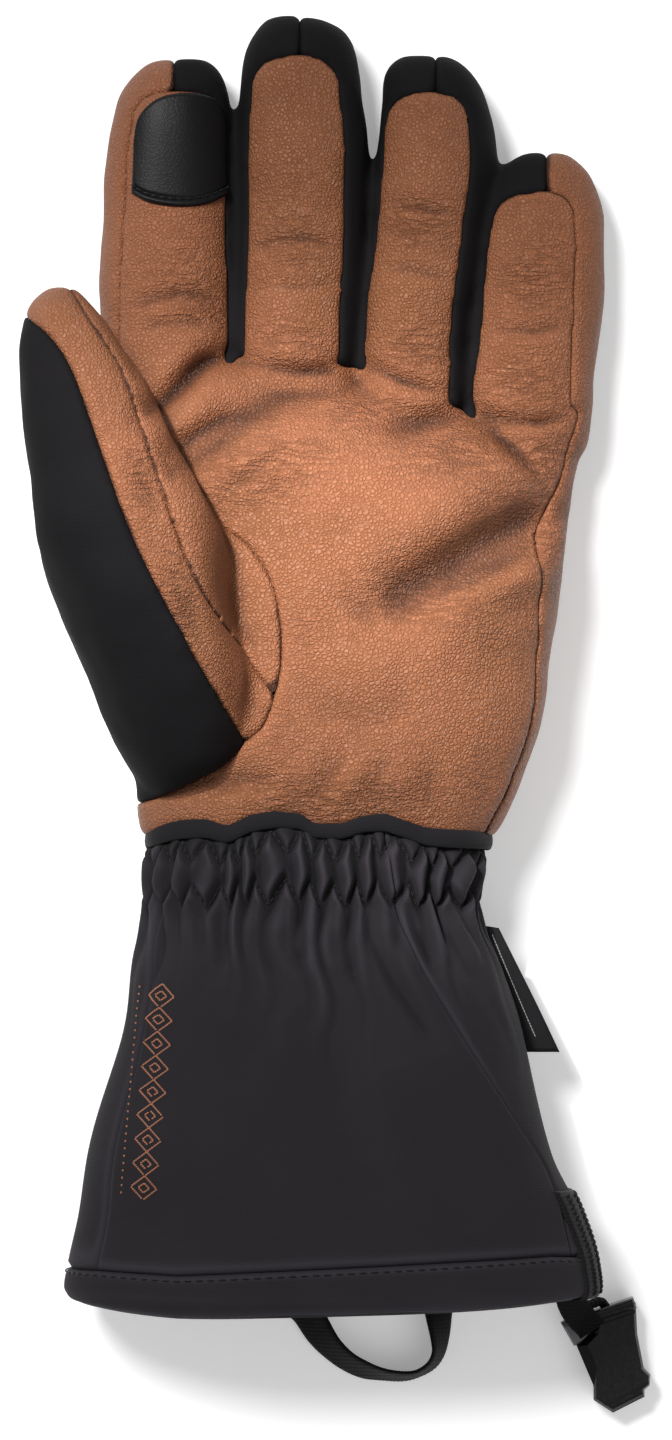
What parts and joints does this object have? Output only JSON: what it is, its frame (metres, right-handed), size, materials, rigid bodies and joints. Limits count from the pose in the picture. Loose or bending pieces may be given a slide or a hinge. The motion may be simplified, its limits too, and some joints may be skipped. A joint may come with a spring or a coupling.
{
  "type": "heated glove",
  "caption": "Padded gauntlet ski glove with leather palm, softshell back, shirred wrist, flared cuff, wrist loop and drawcord lock.",
  "frame": {"origin": "on the surface that the glove lies on, under the middle of its box", "axes": "+Y from the cuff to the fingertips, +Z from the back of the hand to the palm, +X from the thumb side to the little finger side"},
  "size_m": [0.1568, 0.35, 0.0664],
  "materials": {
    "leather": "soft grained goatskin, satin",
    "softshell": "brushed softshell, matt",
    "cuff_cloth": "fine ribbed softshell, matt",
    "pad_leather": "smooth touch leather, satin",
    "binding_tape": "rolled tape, matt",
    "ribbed_elastic": "ribbed elastic, matt",
    "label_cloth": "woven satin",
    "webbing": "ribbed webbing, matt",
    "cord_braid": "braided elastic cord, matt",
    "black_plastic": "moulded, satin",
    "grey_plastic": "moulded, matt"
  },
  "bodies": {
    "glove": {"back_panel": "softshell", "thumb_back_panel": "softshell", "thumb_front_panel": "leather", "thumb_inner_panel": "leather", "palm_panel": "leather", "index_side_panel": "leather", "fourchette_index_middle": "softshell", "fourchette_middle_ring": "softshell", "fourchette_ring_little": "softshell", "little_side_panel": "leather", "touch_pad": "pad_leather", "wrist_binding": "binding_tape", "cuff_front_panel": "cuff_cloth", "cuff_side_panel": "cuff_cloth", "cuff_back_panel": "cuff_cloth", "cuff_hem": "cuff_cloth", "side_band": "ribbed_elastic", "care_label": "label_cloth", "wrist_loop": "webbing", "lock_tab": "webbing", "drawcord": "cord_braid", "cord_lock_body": "black_plastic"},
    "lock_button": {"cord_lock_button": "grey_plastic"}
  },
  "joints": [
    {"name": "lock_press", "type": "slide", "parent": "glove", "child": "lock_button", "axis": [0.5, -0.866, 0], "range_m": [0, 0.003], "stiffness_N_per_m": 400, "springref_m": -0.001}
  ]
}
